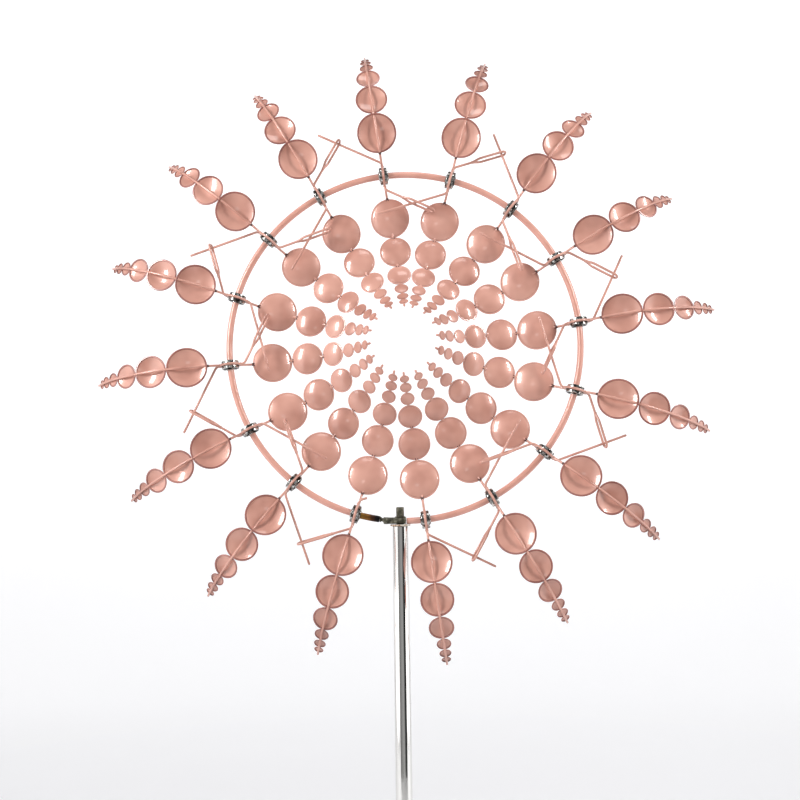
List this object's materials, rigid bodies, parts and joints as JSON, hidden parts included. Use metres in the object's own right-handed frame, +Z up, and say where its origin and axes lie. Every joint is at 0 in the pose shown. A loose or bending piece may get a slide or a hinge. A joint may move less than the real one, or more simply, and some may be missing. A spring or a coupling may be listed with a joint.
{
  "type": "kinetic wind sculpture",
  "caption": "Garden wind sculpture: linked wings of graded dished discs spin on ball bearings threaded round an upright wire ring on a staked pole.",
  "frame": {"origin": "on the pole's axis at ground level, where the stake goes into the ground", "axes": "+Z up along the pole, the ring lies in the XZ plane, and the front looks along -Y"},
  "size_m": [0.8038, 0.0656, 1.5696],
  "materials": {
    "pink_paint": "glossy salmon pink enamel on steel sheet and wire",
    "bearing_steel": "polished bearing steel",
    "heat_tinted_steel": "bare tube browned and blackened by welding",
    "raw_steel": "dark raw mild steel",
    "rusty_steel": "thin steel washer with a film of rust",
    "polished_steel": "mirror polished stainless steel tube"
  },
  "bodies": {
    "stand": {"pole": "polished_steel", "pole_plug": "raw_steel", "pole_washer": "rusty_steel", "ground_stake": "raw_steel", "foot_plate": "raw_steel"},
    "head": {"ring_tube": "pink_paint", "ring_end_stub": "heat_tinted_steel", "ring_lug": "raw_steel", "pole_stud": "raw_steel", "bearing_inner_race_01": "bearing_steel", "bearing_inner_race_02": "bearing_steel", "bearing_inner_race_03": "bearing_steel", "bearing_inner_race_04": "bearing_steel", "bearing_inner_race_05": "bearing_steel", "bearing_inner_race_06": "bearing_steel", "bearing_inner_race_07": "bearing_steel", "bearing_inner_race_08": "bearing_steel", "bearing_inner_race_09": "bearing_steel", "bearing_inner_race_10": "bearing_steel", "bearing_inner_race_11": "bearing_steel", "bearing_inner_race_12": "bearing_steel", "bearing_inner_race_13": "bearing_steel", "bearing_inner_race_14": "bearing_steel", "bearing_inner_race_15": "bearing_steel", "bearing_inner_race_16": "bearing_steel"},
    "wing_assembly_01": {"wing_01": "pink_paint", "bearing_outer_race_01": "bearing_steel"},
    "wing_assembly_02": {"wing_02": "pink_paint", "bearing_outer_race_02": "bearing_steel"},
    "wing_assembly_03": {"wing_03": "pink_paint", "bearing_outer_race_03": "bearing_steel"},
    "wing_assembly_04": {"wing_04": "pink_paint", "bearing_outer_race_04": "bearing_steel"},
    "wing_assembly_05": {"wing_05": "pink_paint", "bearing_outer_race_05": "bearing_steel"},
    "wing_assembly_06": {"wing_06": "pink_paint", "bearing_outer_race_06": "bearing_steel"},
    "wing_assembly_07": {"wing_07": "pink_paint", "bearing_outer_race_07": "bearing_steel"},
    "wing_assembly_08": {"wing_08": "pink_paint", "bearing_outer_race_08": "bearing_steel"},
    "wing_assembly_09": {"wing_09": "pink_paint", "bearing_outer_race_09": "bearing_steel"},
    "wing_assembly_10": {"wing_10": "pink_paint", "bearing_outer_race_10": "bearing_steel"},
    "wing_assembly_11": {"wing_11": "pink_paint", "bearing_outer_race_11": "bearing_steel"},
    "wing_assembly_12": {"wing_12": "pink_paint", "bearing_outer_race_12": "bearing_steel"},
    "wing_assembly_13": {"wing_13": "pink_paint", "bearing_outer_race_13": "bearing_steel"},
    "wing_assembly_14": {"wing_14": "pink_paint", "bearing_outer_race_14": "bearing_steel"},
    "wing_assembly_15": {"wing_15": "pink_paint", "bearing_outer_race_15": "bearing_steel"},
    "wing_assembly_16": {"wing_16": "pink_paint", "bearing_outer_race_16": "bearing_steel"}
  },
  "joints": [
    {"name": "head_swivel", "type": "hinge", "parent": "stand", "child": "head", "pos_m": [0, 0, 0.72], "axis": [0, 0, 1], "continuous": true},
    {"name": "wing_01_spin", "type": "hinge", "parent": "head", "child": "wing_assembly_01", "pos_m": [-0.0152, 0, 1.16924], "axis": [-0.9945, 0, -0.1045], "continuous": true},
    {"name": "wing_02_spin", "type": "hinge", "parent": "head", "child": "wing_assembly_02", "pos_m": [0.07105, 0, 1.16131], "axis": [-0.9588, 0, 0.284], "continuous": true},
    {"name": "wing_03_spin", "type": "hinge", "parent": "head", "child": "wing_assembly_03", "pos_m": [0.14771, 0, 1.12098], "axis": [-0.7771, 0, 0.6293], "continuous": true},
    {"name": "wing_04_spin", "type": "hinge", "parent": "head", "child": "wing_assembly_04", "pos_m": [0.2031, 0, 1.05438], "axis": [-0.4772, 0, 0.8788], "continuous": true},
    {"name": "wing_05_spin", "type": "hinge", "parent": "head", "child": "wing_assembly_05", "pos_m": [0.22878, 0, 0.97166], "axis": [-0.1045, 0, 0.9945], "continuous": true},
    {"name": "wing_06_spin", "type": "hinge", "parent": "head", "child": "wing_assembly_06", "pos_m": [0.22086, 0, 0.8854], "axis": [0.284, 0, 0.9588], "continuous": true},
    {"name": "wing_07_spin", "type": "hinge", "parent": "head", "child": "wing_assembly_07", "pos_m": [0.18053, 0, 0.80875], "axis": [0.6293, 0, 0.7771], "continuous": true},
    {"name": "wing_08_spin", "type": "hinge", "parent": "head", "child": "wing_assembly_08", "pos_m": [0.11393, 0, 0.75336], "axis": [0.8788, 0, 0.4772], "continuous": true},
    {"name": "wing_09_spin", "type": "hinge", "parent": "head", "child": "wing_assembly_09", "pos_m": [0.03121, 0, 0.72767], "axis": [0.9945, 0, 0.1045], "continuous": true},
    {"name": "wing_10_spin", "type": "hinge", "parent": "head", "child": "wing_assembly_10", "pos_m": [-0.05505, 0, 0.7356], "axis": [0.9588, 0, -0.284], "continuous": true},
    {"name": "wing_11_spin", "type": "hinge", "parent": "head", "child": "wing_assembly_11", "pos_m": [-0.13171, 0, 0.77593], "axis": [0.7771, 0, -0.6293], "continuous": true},
    {"name": "wing_12_spin", "type": "hinge", "parent": "head", "child": "wing_assembly_12", "pos_m": [-0.1871, 0, 0.84253], "axis": [0.4772, 0, -0.8788], "continuous": true},
    {"name": "wing_13_spin", "type": "hinge", "parent": "head", "child": "wing_assembly_13", "pos_m": [-0.21278, 0, 0.92525], "axis": [0.1045, 0, -0.9945], "continuous": true},
    {"name": "wing_14_spin", "type": "hinge", "parent": "head", "child": "wing_assembly_14", "pos_m": [-0.20486, 0, 1.01151], "axis": [-0.284, 0, -0.9588], "continuous": true},
    {"name": "wing_15_spin", "type": "hinge", "parent": "head", "child": "wing_assembly_15", "pos_m": [-0.16453, 0, 1.08817], "axis": [-0.6293, 0, -0.7771], "continuous": true},
    {"name": "wing_16_spin", "type": "hinge", "parent": "head", "child": "wing_assembly_16", "pos_m": [-0.09793, 0, 1.14355], "axis": [-0.8788, 0, -0.4772], "continuous": true}
  ],
  "couplings": [
    {"joint": "wing_02_spin", "follows": "wing_01_spin", "ratio": 1},
    {"joint": "wing_03_spin", "follows": "wing_01_spin", "ratio": 1},
    {"joint": "wing_04_spin", "follows": "wing_01_spin", "ratio": 1},
    {"joint": "wing_05_spin", "follows": "wing_01_spin", "ratio": 1},
    {"joint": "wing_06_spin", "follows": "wing_01_spin", "ratio": 1},
    {"joint": "wing_07_spin", "follows": "wing_01_spin", "ratio": 1},
    {"joint": "wing_08_spin", "follows": "wing_01_spin", "ratio": 1},
    {"joint": "wing_09_spin", "follows": "wing_01_spin", "ratio": 1},
    {"joint": "wing_10_spin", "follows": "wing_01_spin", "ratio": 1},
    {"joint": "wing_11_spin", "follows": "wing_01_spin", "ratio": 1},
    {"joint": "wing_12_spin", "follows": "wing_01_spin", "ratio": 1},
    {"joint": "wing_13_spin", "follows": "wing_01_spin", "ratio": 1},
    {"joint": "wing_14_spin", "follows": "wing_01_spin", "ratio": 1},
    {"joint": "wing_15_spin", "follows": "wing_01_spin", "ratio": 1},
    {"joint": "wing_16_spin", "follows": "wing_01_spin", "ratio": 1}
  ]
}
